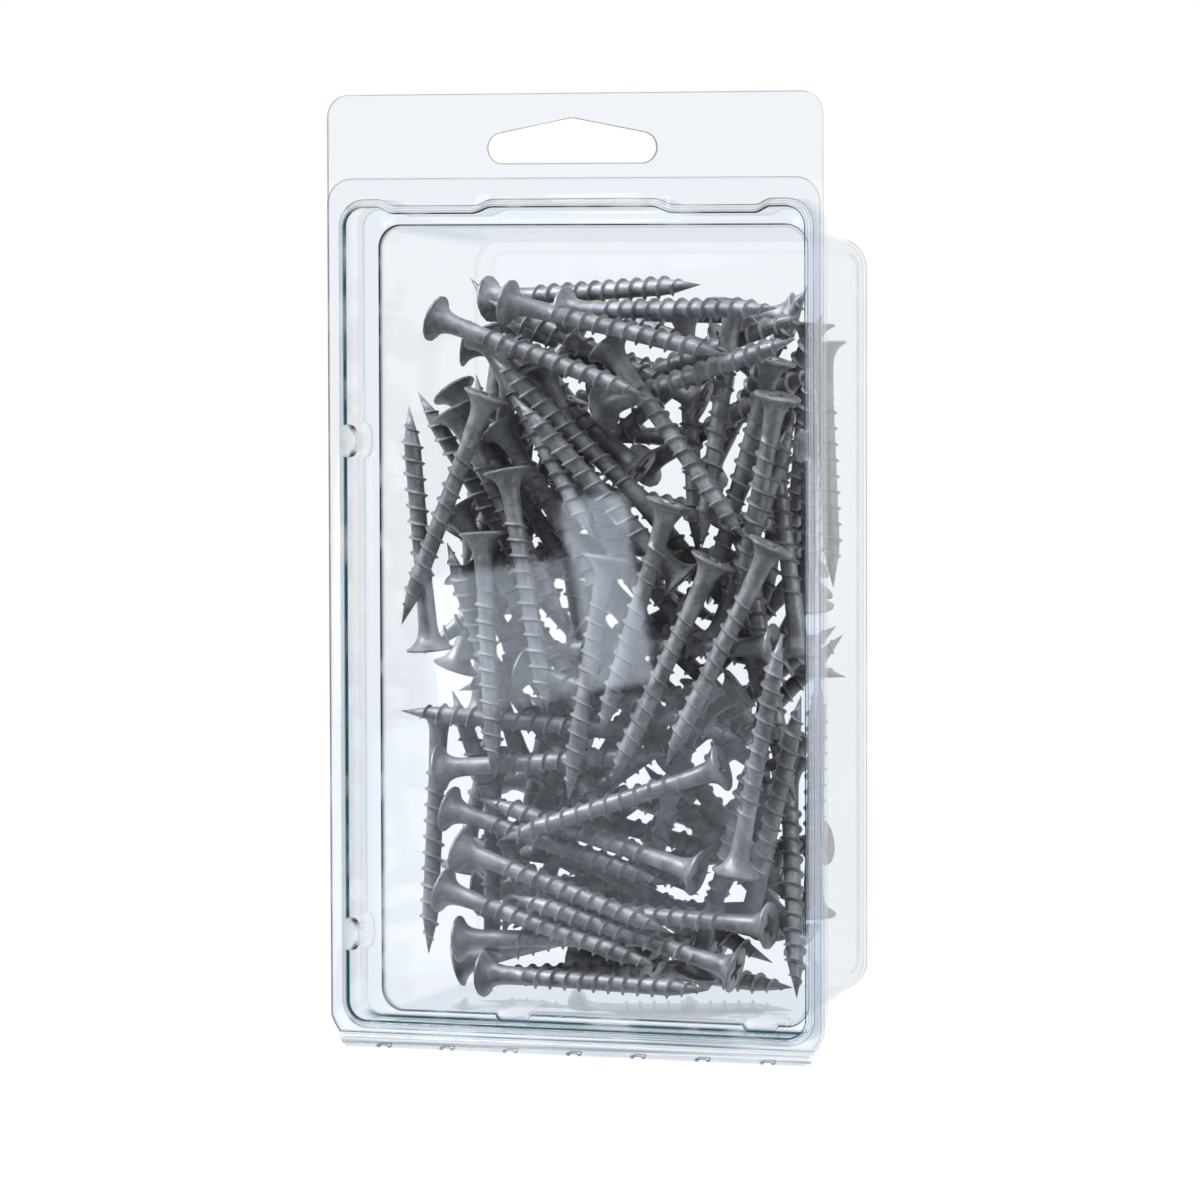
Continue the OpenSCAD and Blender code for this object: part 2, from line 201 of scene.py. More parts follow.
# the clear sheet: see-through from the front, more mirror at a low angle, with
# painted dark lines at its bends and cut edges, a painted reflection of dark surroundings
film = {
    "tint": (0.990, 0.995, 1.0, 1),
    "paintedShadeTint": (0.948, 0.964, 0.984, 1),       # painted shade: a deeper tint on the tab, flanges, panel and lower half
    "slantTint": (0.90, 0.915, 0.935, 1),       # walls of the cavity seen at a low angle
    # the sheet seen edge-on: its own body colour, deepened as painted shade
    "edge": (0.34, 0.44, 0.48, 1),
    "teal": (0.012, 0.085, 0.115, 1),           # painted dark line at the recess's left bend
    "deep": (0.006, 0.035, 0.05, 1),            # painted dark line at the bends near the fold
    "dusk": (0.02, 0.02, 0.026, 1),             # painted dark line everywhere else
    "rough": 0.02,
    "mirror": 0.012,
    "lowMirror": 0.8,
    "rim": 0.4,
    "waveScale": 22.0,
    "lineNoiseScale": 110.0,
    "streakScale": (16.0, 500.0, 900.0),
    # how much the painted refraction streaks along the fold darken
    "streakShade": 0.4,
}
# where the look changes, from and to in mm: across, into the pack, and below the hang hole
zones = {
    "leftInside": (-42.4, -43.0), "leftOutside": (-45.0, -44.2),
    "flange": (1.2, 0.8), "panelFront": (6.8, 7.3), "panelBack": (8.6, 8.2),
    "cavity": (9.0, 12.0), "back": (44.0, 47.0),
    "tab": (-7.2, -6.2), "lower": (-80.0, -105.0), "bottom": (-146.0, -153.0), "fold": (-155.5, -157.5),
}


def filmSurface(shade):
    def zone(value, name):
        low, high = zones[name]
        return value.between(low * mm, high * mm)

    place = shade.node("ShaderNodeTexCoord", out="Object")
    across, depth, height = shade.split(place)
    wave = shade.noise(place, film["waveScale"], 0.5, 0.4)
    bump = shade.node("ShaderNodeBump", None, {"Strength": 0.02, "Distance": 3 * mm, "Height": wave})
    facing = shade.node("ShaderNodeLayerWeight", None, {"Blend": 0.5, "Normal": bump}, "Facing")

    # how dark a painted line is: the mesh's mark, broken up a little, and painted refraction streaks along
    # the fold
    mark = shade.node("ShaderNodeAttribute", {"attribute_name": "bend"}, out="Fac")
    lineNoise = shade.noise(place, film["lineNoiseScale"], 1.5, 0.65).between(0.30, 0.52)
    along = shade.node("ShaderNodeMapping", None, {"Vector": place, "Scale": film["streakScale"]})
    streak = shade.noise(along, 1.0, 1.0).between(0.60, 0.70)
    dark = (mark * (lineNoise * 0.4 + 0.6) + streak * zone(height, "fold") * film["streakShade"]).capped()
    # the painted line's colour: teal on the recess's left bend, deeper near the fold
    left = zone(across, "leftInside") * zone(across, "leftOutside")
    lineShade = shade.mixColour(zone(height, "bottom"), film["dusk"], film["deep"])
    lineShade = shade.mixColour(left, lineShade, film["teal"])

    # painted shade: the tint deepens on the tab, flanges, panel and lower half
    panel = zone(depth, "panelFront") * zone(depth, "panelBack")
    shadeMask = (zone(height, "tab") + panel + zone(depth, "flange") * 0.5 + zone(height, "lower") * 0.4).capped()
    slant = facing.between(0.60, 0.78) * zone(depth, "cavity")
    tint = shade.mixColour(shadeMask, film["tint"], film["paintedShadeTint"])
    tint = shade.mixColour(slant, tint, film["slantTint"])

    clear = shade.node("ShaderNodeBsdfTransparent", None, {"Color": tint})
    gloss = shade.node("ShaderNodeBsdfGlossy", None,
                       {"Color": (1, 1, 1, 1), "Roughness": film["rough"], "Normal": bump})
    edge = shade.node("ShaderNodeBsdfPrincipled", None, {
        "Base Color": film["edge"], "Roughness": 0.15, "Specular IOR Level": 0.6})
    # an opaque dark surface that paints the dark lines, standing in for reflected dark surroundings
    line = shade.node("ShaderNodeBsdfPrincipled", None, {
        "Base Color": lineShade, "Roughness": 1.0, "Specular IOR Level": 0.0})
    # the back wall mirrors less
    mirror = (facing ** 5.0 * film["lowMirror"] + film["mirror"]) * (1.0 - zone(depth, "back") * 0.8)
    sheet = shade.mixShader(mirror, clear, gloss)
    # an opaque rim where the sheet turns edge-on: its body colour with painted shade
    sheet = shade.mixShader(facing ** 20.0 * film["rim"], sheet, edge)
    return shade.mixShader(dark, sheet, line)


screwLook = newMaterial("screwCoating", screwSurface)
filmLook = newMaterial("clearSheet", filmSurface)
print("stage: materials")


# one screw, in mm, with its head at the origin and its tip down
screwShape = {
    "length": 44.0, "headRadius": 4.2, "faceEdge": 0.12, "rim": 0.42,
    "neck": 1.6, "flare": 1.28, "flareRings": (0.62, 1.0, 1.5, 2.2, 3.1, 4.4),
    "core": 1.5, "tip": 0.12, "pointFrom": 37.0,
    "crest": 2.1, "pitch": 2.85, "threadHalf": 0.38, "threadEnd": 1.2,
    "wing": 0.62, "reach": 2.45, "recessDepth": 2.4,
    "kinds": ((7.2, 0.6), (8.6, 0.8), (9.6, 0.6)),      # neck length, turns that the thread grows over
}
# the sides of a ring: four to a quarter, two of them at the end of a wing of the recess
quarter = [math.radians(a) for a in (-14, 14, 37, 53)]
angles = [q + k * math.pi / 2 for k in range(4) for q in quarter]
sides = len(angles)


def recessRadii(scale):
    # the outline of the cross recess
    shape, radii = screwShape, []
    for k in range(sides):
        a = quarter[k % 4]
        atEnd = k % 4 < 2
        radii.append(scale * (shape["reach"] / math.cos(a) if atEnd
                              else shape["wing"] / min(math.sin(a), math.cos(a))))
    return radii


def screwMaster(neckLength, startTurn):
    shape = screwShape
    head = shape["headRadius"]
    verts, faces = [], []

    def ring(radii, depth):
        first = len(verts)
        if not isinstance(radii, list):
            radii = [radii] * sides
        for a, r in zip(angles, radii):
            verts.append((r * math.cos(a), r * math.sin(a), -depth))
        return first

    def band(a, b):
        for k in range(sides):
            n = (k + 1) % sides
            faces.append((a + k, b + k, b + n, a + n))

    # recess, flat face, rim and flare
    verts.append((0, 0, -shape["recessDepth"]))
    last = ring(recessRadii(0.42), shape["recessDepth"] * 0.86)
    for k in range(sides):
        faces.append((0, last + k, last + (k + 1) % sides))
    rings = [(recessRadii(0.9), 0.35), (recessRadii(1.0), 0.04), (head - shape["faceEdge"], 0.0),
             (head, 0.1), (head, shape["rim"])]
    for depth in shape["flareRings"] + (neckLength - 0.3,):
        flare = (head - shape["neck"]) * math.exp(-(depth - shape["rim"]) / shape["flare"])
        rings.append((shape["neck"] + flare, depth))
    for radii, depth in rings:
        new = ring(radii, depth)
        band(last, new)
        last = new

    def core(depth):
        point = max(0.0, (depth - shape["pointFrom"]) / (shape["length"] - shape["pointFrom"]))
        return shape["core"] - (shape["core"] - shape["tip"]) * point

    # a thin blade of thread winds round the core: each row is its upper foot, crest and lower foot
    turns = int((shape["length"] - shape["threadEnd"] - neckLength) / shape["pitch"])
    count = turns * sides
    rows = []
    for t in range(count + 1):
        a = angles[t % sides] + 2 * math.pi * (t // sides)
        middle = neckLength + shape["threadHalf"] + shape["pitch"] * (a - angles[0]) / (2 * math.pi)
        grow = min(1.0, t / (sides * startTurn))
        fade = min(1.0, (count - t + 3) / (sides * 1.6))
        tall = (shape["crest"] - shape["core"]) * grow * (0.45 + 0.55 * fade)
        half = shape["threadHalf"] * (0.5 + 0.5 * fade)
        rows.append(len(verts))
        for step, r in ((-half, core(middle - half)), (0, core(middle) + tall), (half, core(middle + half))):
            verts.append((r * math.cos(a), r * math.sin(a), -(middle + step)))
    for t in range(count):
        a, b = rows[t], rows[t + 1]
        faces.append((a, a + 1, b + 1, b))
        faces.append((a + 1, a + 2, b + 2, b + 1))
        if t + sides < count:
            c, d = rows[t + sides], rows[t + sides + 1]
            faces.append((a + 2, c, d, b + 2))
        else:
            faces.append((a + 2, len(verts), b + 2))
        if t < sides:
            faces.append((last + t, a, b, last + (t + 1) % sides))
    verts.append((0, 0, -shape["length"]))
    return [(x * mm, y * mm, z * mm) for x, y, z in verts], faces


def looseScrews(node):
    # head centre, and direction towards the tip, of each solid of a CAD node
    mesh = nodes[node].data
    mesh.calc_loop_triangles()
    places = np.zeros(len(mesh.vertices) * 3)
    mesh.vertices.foreach_get("co", places)
    corners = np.zeros(len(mesh.loop_triangles) * 3, int)
    mesh.loop_triangles.foreach_get("vertices", corners)
    rounded = np.round(places.reshape(-1, 3) * 1e6).astype(int)     # whole micrometres
    points, same = np.unique(rounded, axis=0, return_inverse=True)
    corners = same.reshape(-1)[corners].reshape(-1, 3)
    # each point takes the lowest label of its triangles until nothing changes
    label = np.arange(len(points))
    while True:
        lowest = label[corners].min(axis=1)
        new = label.copy()
        for i in range(3):
            np.minimum.at(new, corners[:, i], lowest)
        new = new[new]
        if (new == label).all():
            break
        label = new
    found, fewestPoints, endDepth = [], 12, 0.00004
    for group in np.unique(label):
        solid = points[label == group] * 1e-6
        if len(solid) < fewestPoints:
            continue
        middle = solid.mean(axis=0)
        axis = np.linalg.svd(solid - middle)[2][0]
        along = (solid - middle) @ axis
        ends = [solid[along < along.min() + endDepth], solid[along > along.max() - endDepth]]
        if len(ends[0]) < len(ends[1]):
            ends.reverse()
        head, tip = ends[0].mean(axis=0), ends[1].mean(axis=0)
        found.append((head, (tip - head) / np.linalg.norm(tip - head)))
    return found


def heapNodes(masters):
    # each point with an axis, a roll and a kind becomes a screw
    tree = bpy.data.node_groups.new("screwHeap", "GeometryNodeTree")
    for name, way, kind in (("Geometry", "INPUT", "Geometry"), ("Coating", "INPUT", "Material"),
                            ("Size", "INPUT", "Float"), ("Geometry", "OUTPUT", "Geometry")):
        tree.interface.new_socket(name, in_out=way, socket_type="NodeSocket" + kind)

    def attribute(name, kind):
        node = addNode(tree, "GeometryNodeInputNamedAttribute", {"data_type": kind}, {"Name": name})
        return node.outputs[0]

    start = addNode(tree, "NodeGroupInput")
    kinds = addNode(tree, "GeometryNodeJoinGeometry")
    for master in reversed(masters):        # the last link comes first in the join
        info = addNode(tree, "GeometryNodeObjectInfo", None, {"Object": master, "As Instance": True})
        tree.links.new(info.outputs["Geometry"], kinds.inputs[0])
    aim = addNode(tree, "FunctionNodeAlignRotationToVector", {"axis": "Z"},
                  {"Vector": attribute("axis", "FLOAT_VECTOR")})
    spin = addNode(tree, "FunctionNodeAxisAngleToRotation", None,
                   {"Axis": (0, 0, 1), "Angle": attribute("roll", "FLOAT")})
    turn = addNode(tree, "FunctionNodeRotateRotation", {"rotation_space": "LOCAL"},
                   {0: aim.outputs[0], 1: spin.outputs[0]})
    size = addNode(tree, "ShaderNodeCombineXYZ", None, {i: start.outputs["Size"] for i in range(3)})
    lay = addNode(tree, "GeometryNodeInstanceOnPoints", None, {
        "Points": start.outputs["Geometry"], "Instance": kinds.outputs[0], "Pick Instance": True,
        "Instance Index": attribute("kind", "INT"), "Rotation": turn.outputs[0], "Scale": size.outputs[0]})
    real = addNode(tree, "GeometryNodeRealizeInstances", None, {"Geometry": lay.outputs[0]})
    paint = addNode(tree, "GeometryNodeSetMaterial", None,
                    {"Geometry": real.outputs[0], "Material": start.outputs["Coating"]})
    addNode(tree, "NodeGroupOutput", None, {0: paint.outputs[0]})
    return tree


heap = {"seed": 11, "size": 1.0, "sharpFrom": 0.75}
rng = np.random.default_rng(heap["seed"])
masters = [newObject(f"screwMaster{i}", *screwMaster(*kind), screwLook, heap["sharpFrom"])
           for i, kind in enumerate(screwShape["kinds"])]
heapTree = heapNodes(masters)
inputIds = {item.name: item.identifier for item in heapTree.interface.items_tree if item.in_out == "INPUT"}
for node in ("screws_front", "screws_middle", "screws_back"):
    screws = looseScrews(node)
    name = "heap" + node.split("_")[1].capitalize()
    mesh = bpy.data.meshes.new(name)
    mesh.from_pydata([tuple(head) for head, way in screws], [], [])
    upwards = np.concatenate([-way for head, way in screws])
    rolls = rng.random(len(screws)) * 2 * math.pi
    picks = rng.integers(0, len(masters), len(screws))
    for label, kind, key, values in (("axis", "FLOAT_VECTOR", "vector", upwards),
                                     ("roll", "FLOAT", "value", rolls), ("kind", "INT", "value", picks)):
        mesh.attributes.new(label, kind, "POINT").data.foreach_set(key, values)
    obj = addObject(name, mesh)
    modifier = obj.modifiers.new("heap", "NODES")
    modifier.node_group = heapTree
    modifier[inputIds["Coating"]] = screwLook
    modifier[inputIds["Size"]] = heap["size"]
    bake(obj)
    for label in ("axis", "roll", "kind"):
        if label in obj.data.attributes:
            obj.data.attributes.remove(obj.data.attributes[label])
    obj.data.set_sharp_from_angle(angle=heap["sharpFrom"])
    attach(obj, "tub")
    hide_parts(node)
    print("stage:", name, len(screws), "screws,", len(obj.data.polygons), "faces")
for master in masters:
    bpy.data.objects.remove(master)


# the folded sheet, in mm, with heights from the fold up; a loop is given as its
# half width, its lower and upper edge, and the radius of its corners
pack = {
    "width": 93.2, "height": 168.5, "sheet": 0.5, "gap": 0.1, "bend": 0.95,
    "cut": 1.6, "cutSlope": 1.8, "cutFlat": 0.8, "edgeWidth": 0.22,
    "cornerSteps": 12, "bendSteps": 9,
}
tub = {
    "mouth": (44.05, 3.9, 149.5, 4.3), "cavity": (40.0, 6.3, 145.0, 3.6), "corner": 4.0, "step": 1.1,
    "ledgeY": 8.25, "ledgeRound": 0.6, "backY": 48.0, "draft": 2.6, "cornerGrowth": 1.4, "backRound": 2.6,
    "lug": 1.1, "lugDepth": 6.5,
}
lid = {
    "recess": (43.15, 4.8, 148.6, 3.4), "height": 153.8, "corner": 4.6, "inset": 0.3, "step": 1.1,
    "panelY": 7.55, "panelRound": 0.8,
}
buttons = {"rows": (20.0, 107.5), "half": 3.0, "rise": 1.8, "points": 17}
setIn = {"slopes": ((37.0, 34.1), (18.9, 15.0)), "points": 7}       # of the top wall: ends of its slopes
lugs = {"at": (-15.4, 31.5), "side": ((-3.1, 0), (-2.7, 0.5), (-2.35, 0.93), (-1.9, 1)), "reach": 34.6}
hole = {"end": (13.225, 2.65), "peak": (0.0, 3.8), "endRadius": 2.65, "peakRadius": 4.0, "height": 156.3}
fold = {"radius": 1.4, "half": 43.6, "pitch": 12.1, "cut": 0.95, "cutEnd": 0.3, "top": 2.6}
tightCorner = 0.3           # the least radius of a corner
cornerRoom = 0.4            # what a squeezed loop keeps free beside its corner


def arcPoints(cx, cz, rx, rz, start, flat=0.0):
    # a quarter of an ellipse, flattened towards its chord
    steps = pack["cornerSteps"]
    first, last = math.radians(start), math.radians(start + 90)

    def at(a):
        return np.array([cx + rx * math.cos(a), cz + rz * math.sin(a)])

    out = []
    for i in range(steps + 1):
        chord = at(first) + (at(last) - at(first)) * i / steps
        out.append(at(first + (last - first) * i / steps) * (1 - flat) + chord * flat)
    return out


def stepPoints(z, depth, end):
    # the top wall with its two set-in lengths, which have soft ends
    outermost = setIn["slopes"][0][0]
    squeeze = min(1.0, (end - cornerRoom) / outermost)
    half = []
    for far, near in setIn["slopes"]:
        for i in range(setIn["points"]):
            t = i / (setIn["points"] - 1)
            soft = t * t * (3 - 2 * t)
            drop = soft if far == outermost else 1 - soft
            half.append((squeeze * (far + (near - far) * t), z - depth * drop))
    return [np.array(p) for p in half] + [np.array([-x, y]) for x, y in reversed(half)]


def sidePoints(half, rise, button):
    # the right-hand wall with its two half-round buttons
    out = []
    for row in buttons["rows"]:
        for i in range(buttons["points"]):
            a = math.pi * i / (buttons["points"] - 1)
            out.append(np.array([half - rise * math.sin(a) ** 0.8, row - button * math.cos(a)]))
    return out


def lugPoints(z, out, end):
    # the bottom wall with its two stacking lugs
    squeeze = min(1.0, (end - cornerRoom) / lugs["reach"])
    profile = lugs["side"] + tuple((-dx, o) for dx, o in reversed(lugs["side"]))
    return [np.array([squeeze * (at + dx), z - out * o]) for at in lugs["at"] for dx, o in profile]


def loopCorners(shape, grow, cut):
    # sizes and corners of a loop; the lower corners may be cut
    half, low, high, r = shape
    half, low, high, r = half + grow, low - grow, high + grow, max(r + grow, tightCorner)
    rx, rz, flat = (cut, pack["cutSlope"] * cut, pack["cutFlat"]) if cut else (r, r, 0.0)
    return (half, low, high, r, rx,
            arcPoints(half - r, high - r, r, r, 0), arcPoints(-half + r, high - r, r, r, 90),
            arcPoints(-half + rx, low + rz, rx, rz, 180, flat),
            arcPoints(half - rx, low + rz, rx, rz, 270, flat))


def lidLoop(shape, grow=0.0, step=lid["step"], rise=0.0, cut=0.0):
    half, low, high, r, rx, highRight, highLeft, lowLeft, lowRight = loopCorners(shape, grow, cut)
    side = sidePoints(half, rise, buttons["half"] - grow * 0.5)
    otherSide = [np.array([-p[0], p[1]]) for p in reversed(side)]
    return np.array(lowRight + side + highRight + stepPoints(high, step, half - r)
                    + highLeft + otherSide + lowLeft)


def tubLoop(shape, grow=0.0, step=0.0, lug=0.0, cut=0.0):
    half, low, high, r, rx, highRight, highLeft, lowLeft, lowRight = loopCorners(shape, grow, cut)
    return np.array(highRight + stepPoints(high, step, half - r) + highLeft + lowLeft
                    + lugPoints(low, lug, half - rx) + lowRight)


class Sheet:
    # a surface that gets its thickness at the end; marks say how dark a bend's painted line is
    def __init__(self):
        self.verts, self.faces, self.marks = [], [], []

    def point(self, x, y, z, mark):
        self.verts.append((x, y, z))
        self.marks.append(mark)
        return len(self.verts) - 1

    def loop(self, points, y, marks=0.0):
        if not hasattr(marks, "__len__"):
            marks = [marks] * len(points)
        return [self.point(p[0], y, p[1], m) for p, m in zip(points, marks)]

    def band(self, a, b, closed=True):
        n = len(a)
        for i in range(n if closed else n - 1):
            j = (i + 1) % n
            self.faces.append((a[i], b[i], b[j], a[j]))

    def rings(self, rings):
        # joins rings of points, depth and marks, closes the last and returns the first
        loops = [self.loop(*ring) for ring in rings]
        for a, b in zip(loops, loops[1:]):
            self.band(a, b)
        self.faces.append(tuple(loops[-1]))
        return loops[0]

    def flat(self, loops):
        # fills the plane between loops, of which the first is the outer one
        bm = bmesh.new()
        edges, own = [], {}
        for loop in loops:
            verts = [bm.verts.new((self.verts[i][0], 0, self.verts[i][2])) for i in loop]
            own.update(zip(verts, loop))
            edges += [bm.edges.new((v, verts[(i + 1) % len(verts)])) for i, v in enumerate(verts)]
        bmesh.ops.triangle_fill(bm, use_beauty=True, use_dissolve=False, edges=edges, normal=(0, -1, 0))
        self.faces += [tuple(own[v] for v in face.verts) for face in bm.faces]
        bm.free()


def holeOutline(wider):
    # the hang hole: straight below, round at the ends, rising to a blunt peak
    end, peak, r, big = np.array(hole["end"]), np.array(hole["peak"]), hole["endRadius"], hole["peakRadius"]
    slope = math.degrees(math.acos((r - big) / np.linalg.norm(peak - end))
                         - math.atan2(end[0], peak[1] - end[1]))
    points = []
    for centre, radius, first, last, steps in ((end, r, -90, 90 - slope, 16),
                                               (peak, big, 90 - slope, 90 + slope, 6),
                                               (end * (-1, 1), r, 90 + slope, 270, 16)):
        for i in range(steps + 1):
            a = math.radians(first + (last - first) * i / steps)
            points.append(centre + (radius + wider) * np.array([math.cos(a), math.sin(a)]))
    return np.array([p + (0, hole["height"]) for p in points])


def addBead(sheet, side, y0, half):
    # half a rolled bead below the flange, cut through near the fold
    # stations along the bead; the mark at each cut paints a dark line there
    stations = [(-half, 0.0)]
    for k in range(-3, 4):
        for out in (-1, 1):
            at = k * fold["pitch"] + out * fold["cut"]
            stations += sorted([(at + out * fold["cutEnd"], 0.0), (at, 0.7)])
    stations.append((half, 0.0))
    # the tub's surface is the inner one, the lid's is the outer one
    r = fold["radius"] - (pack["sheet"] if side > 0 else 0.01)
    start = math.radians(20 if side > 0 else 33)
    # rings with a painted line along the bead, and the ring from which the cuts paint theirs
    steps, lineAt, cutFrom = 12, (3, 8), 9
    profile = [(y0, fold["top"], 0.0)]
    for i in range(steps + 1):
        a = start + (math.pi - start) * i / steps
        profile.append((side * max(r * math.sin(a), pack["gap"] / 2), fold["radius"] + r * math.cos(a),
                        0.25 if i in lineAt else 0.0))
    rows = []
    for x, mark in stations:
        isEnd = abs(x) == half
        rows.append([sheet.point(x + (math.copysign(z / pack["cutSlope"], x) if isEnd else 0.0), y, z,
                                 max(line, mark if i >= cutFrom else 0.0))
                     for i, (y, z, line) in enumerate(profile)])
    for j, (a, b) in enumerate(zip(rows, rows[1:])):
        atCut = stations[j][1] and stations[j + 1][1]
        keep = len(a) - 4 if atCut else len(a)
        sheet.band(a[:keep], b[:keep], False)


def sheetObject(name, sheet, offset, innerMarks):
    # welds the surface, gives it its thickness and keeps its bends smooth
    mesh = bpy.data.meshes.new(name)
    mesh.from_pydata([(x * mm, y * mm, (z + foldZ) * mm) for x, y, z in sheet.verts], [], sheet.faces)
    mesh.attributes.new("bend", "FLOAT", "POINT").data.foreach_set("value", sheet.marks)
    mesh.materials.append(filmLook)
    bm = bmesh.new()
    bm.from_mesh(mesh)
    bmesh.ops.remove_doubles(bm, verts=bm.verts, dist=0.002 * mm)
    bmesh.ops.recalc_face_normals(bm, faces=bm.faces)
    bm.to_mesh(mesh)
    bm.free()
    mesh.polygons.foreach_set("use_smooth", [True] * len(mesh.polygons))
    obj = addObject(name, mesh)
    solid = obj.modifiers.new("sheet", "SOLIDIFY")
    solid.thickness = pack["sheet"] * mm
    solid.offset = offset
    solid.use_quality_normals = True
    firstInner = len(mesh.vertices)
    bake(obj)
    marks = np.zeros(len(obj.data.vertices), np.float32)
    layer = obj.data.attributes["bend"].data
    layer.foreach_get("value", marks)
    marks[firstInner:] *= innerMarks
    layer.foreach_set("value", marks)
    obj.data.set_sharp_from_angle(angle=0.9)
    return obj


# how dark the painted line of each ring of a bend is, a painted reflection of dark surroundings, in the
# order in which the rings are made
bendMarks = {
    "left": (0, 0, 0, 0, 0.3, 1.0, 1.0, 1.0, 1.0, 0.8),
    "right": (0, 0, 0, 0.25, 0.9, 1.0, 1.0, 1.0, 0.9, 0.2),
    "level": (0, 0, 0, 0, 0.25, 0.8, 1.0, 1.0, 0.9, 0.3),
    "cavityLevel": (0, 0, 0.05, 0.4, 0.9, 1.0, 1.0, 1.0, 1.0, 0.8),
    "panelBottom": (0, 1, 1, 1, 0.9, 0.6, 0.35, 0.15, 0.05, 0),
    "button": (0, 0, 0, 0, 0.1, 0.6, 1.0, 1.0, 1.0, 1.0),
    "tubBack": (0, 0.3, 0.8, 0.3, 0, 0, 0, 0, 0.3, 0),
}
# how dark the painted lines along the cut edges and the hang hole are
edgeMarks = {"tub": 0.65, "lid": 0.5, "right": 0.25, "hole": 0.8, "rightFrom": 44}


def bendShade(loop, shape, i, level="level"):
    # left, right and level walls get painted dark lines of different width at their bends
    low, high, r = shape[1:]
    out = []
    for x, z in loop:
        flat = min(1.0, max(0.0, (z - high + r) / r, (low + r - z) / r))
        side = bendMarks["left" if x < 0 else "right"]
        out.append(side[i] * (1 - flat) + bendMarks[level][i] * flat)
    return np.array(out)


def addOutline(sheet, makeLoop, y0, mark):
    # a cut edge with its narrow painted dark line; returns the line's inner loop
    points = makeLoop(0.0)
    marks = [edgeMarks["right"] if x > edgeMarks["rightFrom"] else mark for x, z in points]
    edge = sheet.loop(points, y0, marks)
    near = sheet.loop(makeLoop(pack["edgeWidth"]), y0)
    sheet.band(edge, near)
    return near


def makeTub():
    cavity, mouth = tub["cavity"], tub["mouth"]
    bend, y0, steps = pack["bend"], pack["gap"] / 2, pack["bendSteps"]
    ledge, lug = tub["ledgeY"], tub["lug"]
    turns = [math.pi / 2 * i / steps for i in range(steps + 1)]
    rings = []
    for i, a in enumerate(turns):
        loop = tubLoop(mouth, bend * (1 - math.sin(a)), tub["step"])
        # a painted line along the mouth's bend, fainter on the left
        strength = np.array([0.35 if x < 1.0 - mouth[0] else 0.8 for x, z in loop])
        rings.append((loop, y0 + bend * (1 - math.cos(a)), strength * bendShade(loop, mouth, i)))
    r = tub["ledgeRound"]
    # the ledge's round, with a faint painted line
    for i in range(4):
        a = math.pi / 2 * i / 3
        rings.append((tubLoop(mouth, -r * (1 - math.cos(a)), tub["step"]), ledge - r * (1 - math.sin(a)),
                      0.10 if i in (1, 2) else 0.0))
    # the corners and the top wall come before the lugs in a loop
    lugFirst = 3 * (pack["cornerSteps"] + 1) + 4 * setIn["points"]
    lugSides = [lugFirst + k for k in (0, 1, 6, 7, 8, 9, 14, 15)]
    for i, a in enumerate(turns):
        loop = tubLoop(cavity, bend * (1 - math.sin(a)), 0, lug)
        marks = bendShade(loop, cavity, i, "cavityLevel")
        # painted lines beside the lugs
        if i > 4:
            marks[lugSides] = np.maximum(marks[lugSides], 0.8)
        rings.append((loop, ledge + bend * (1 - math.cos(a)), marks))

    def wall(y, extra=0.0, lugOut=0.0):
        # the cavity narrows towards the back
        part = max(0.0, (y - ledge - bend) / (tub["backY"] - ledge - bend))
        by = tub["draft"] * part
        half, low, high, corner = cavity
        shape = (half - by, low + by, high - by, corner + tub["cornerGrowth"] * part)
        return tubLoop(shape, -extra, 0, lugOut)

    for k in range(1, 6):
        t = k / 5
        y = ledge + bend + (tub["lugDepth"] - bend) * t
        rings.append((wall(y, 0, lug * math.cos(t * math.pi / 2) ** 0.6 if t < 1 else 0), y))
    endY = tub["backY"] - tub["backRound"]
    lugEnd = ledge + tub["lugDepth"]
    for k in range(1, 6):
        y = lugEnd + (endY - lugEnd) * k / 5
        rings.append((wall(y), y))
    for i, a in list(enumerate(turns))[1:]:
        loop = wall(endY, tub["backRound"] * (1 - math.cos(a)))
        # a painted line along the back bend, strong on the right only
        mark = bendMarks["tubBack"][i]
        marks = [mark * (1.0 if x > 34 else 0.12) for x, z in loop]
        rings.append((loop, endY + tub["backRound"] * math.sin(a), marks))

    sheet = Sheet()
    opening = sheet.rings(rings)
    size = (pack["width"] / 2, fold["top"], pack["height"], tub["corner"])
    near = addOutline(sheet, lambda inset: tubLoop(size, -inset, cut=pack["cut"]), y0, edgeMarks["tub"])
    holeEdge = sheet.loop(holeOutline(0), y0, edgeMarks["hole"])
    nearHole = sheet.loop(holeOutline(pack["edgeWidth"]), y0)
    sheet.band(holeEdge, nearHole)
    sheet.flat([near, opening, nearHole])
    addBead(sheet, 1, y0, fold["half"])
    return sheetObject("clearTub", sheet, 1, 0.15)


